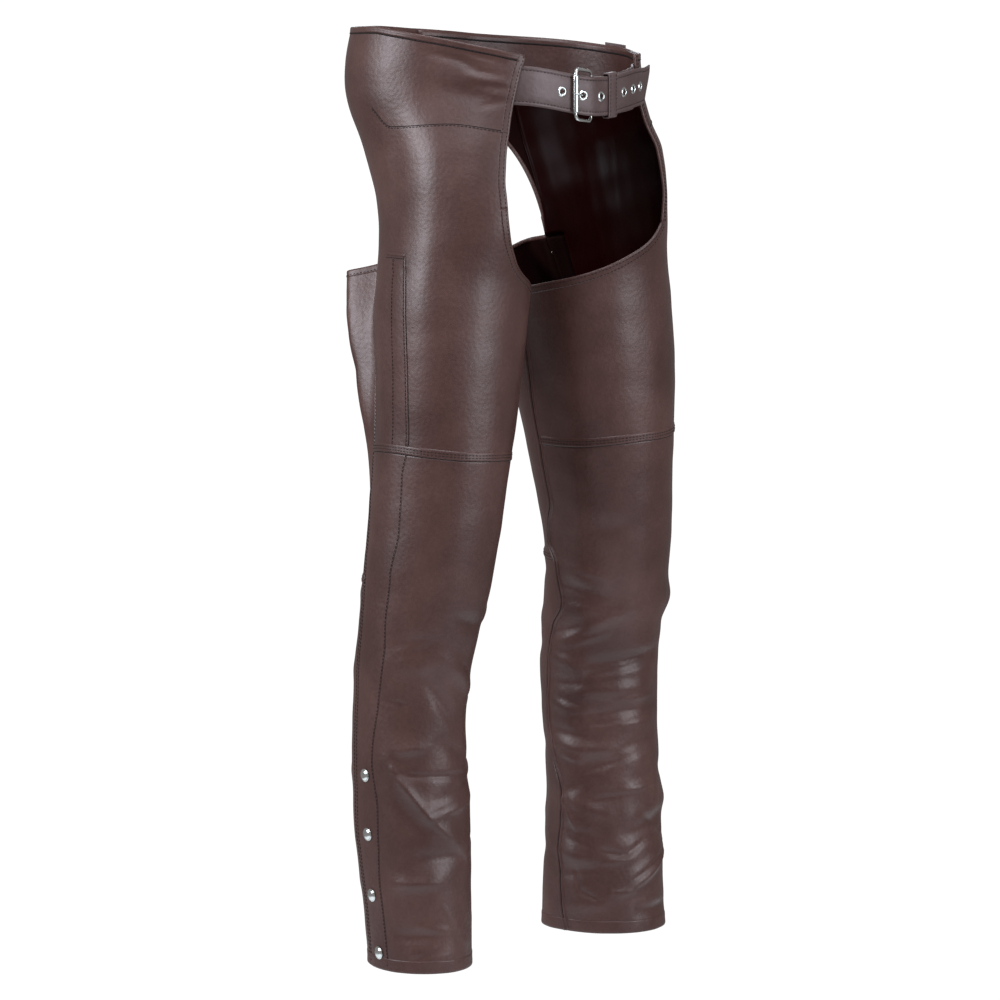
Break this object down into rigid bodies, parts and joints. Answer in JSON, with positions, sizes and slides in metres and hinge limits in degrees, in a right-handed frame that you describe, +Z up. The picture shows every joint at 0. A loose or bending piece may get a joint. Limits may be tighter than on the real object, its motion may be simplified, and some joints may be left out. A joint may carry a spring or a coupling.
{
  "type": "pair of leather chaps",
  "caption": "Open-hipped leather leg covers in worn shape, joined by a buckled waist strap, with side openings closed by snaps near the hem",
  "frame": {"origin": "middle of the waist, level with where the strap meets the hips at the back", "axes": "wearer faces -Y, wearer's left is +X, +Z up"},
  "size_m": [0.4385, 0.2914, 1.0414],
  "materials": {
    "brown_leather": "semi-gloss smooth grain with soft worn creases",
    "black_satin": "smooth satin",
    "black_tape": "matt woven",
    "nickel": "polished nickel plate"
  },
  "bodies": {
    "root": {"right_hip_panel": "brown_leather", "right_lower_front": "brown_leather", "right_thigh_back": "brown_leather", "right_calf_back": "brown_leather", "right_waist_facing": "brown_leather", "right_hip_lining": "black_satin", "right_zip_tape": "black_tape", "right_snap_1": "nickel", "right_snap_2": "nickel", "right_snap_3": "nickel", "right_snap_4": "nickel", "right_waist_strap": "brown_leather", "left_hip_panel": "brown_leather", "left_lower_front": "brown_leather", "left_thigh_back": "brown_leather", "left_calf_back": "brown_leather", "left_waist_facing": "brown_leather", "left_hip_lining": "black_satin", "left_zip_tape": "black_tape", "left_snap_1": "nickel", "left_snap_2": "nickel", "left_snap_3": "nickel", "left_snap_4": "nickel", "left_waist_strap": "brown_leather", "strap_keeper": "brown_leather", "left_hip_tab": "brown_leather", "buckle_frame": "nickel", "buckle_prong": "nickel", "eyelet_1": "nickel", "eyelet_2": "nickel", "eyelet_3": "nickel", "eyelet_4": "nickel", "eyelet_5": "nickel", "eyelet_6": "nickel"}
  },
  "joints": []
}
